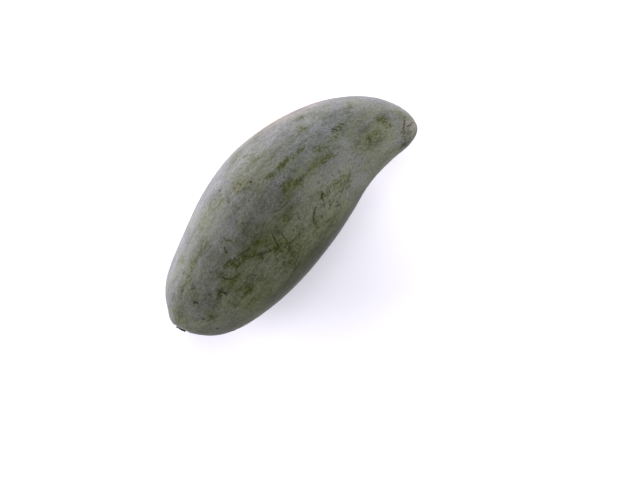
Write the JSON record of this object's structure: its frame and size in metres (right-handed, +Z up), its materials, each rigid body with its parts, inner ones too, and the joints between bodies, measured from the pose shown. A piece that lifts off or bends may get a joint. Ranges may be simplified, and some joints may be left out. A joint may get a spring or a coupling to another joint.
{
  "type": "mango",
  "caption": "Whole long green mango with a curved back and a small beak, lying on one cheek on a small flat spot, with the short woody stub of its stalk.",
  "frame": {"origin": "centre of the bounding box in X and Y, at the level of the flat spot that the fruit rests on", "axes": "+X from the stalk end to the tip, +Y from the belly to the back, +Z up, square to the middle plane that lies between the two cheeks"},
  "size_m": [0.161, 0.0732, 0.0598],
  "materials": {
    "skin": "matt grey-green with a waxy bloom",
    "stalk": "dry, dark and rough"
  },
  "bodies": {
    "root": {"fruit": "skin", "stem_stub": "stalk"}
  },
  "joints": []
}
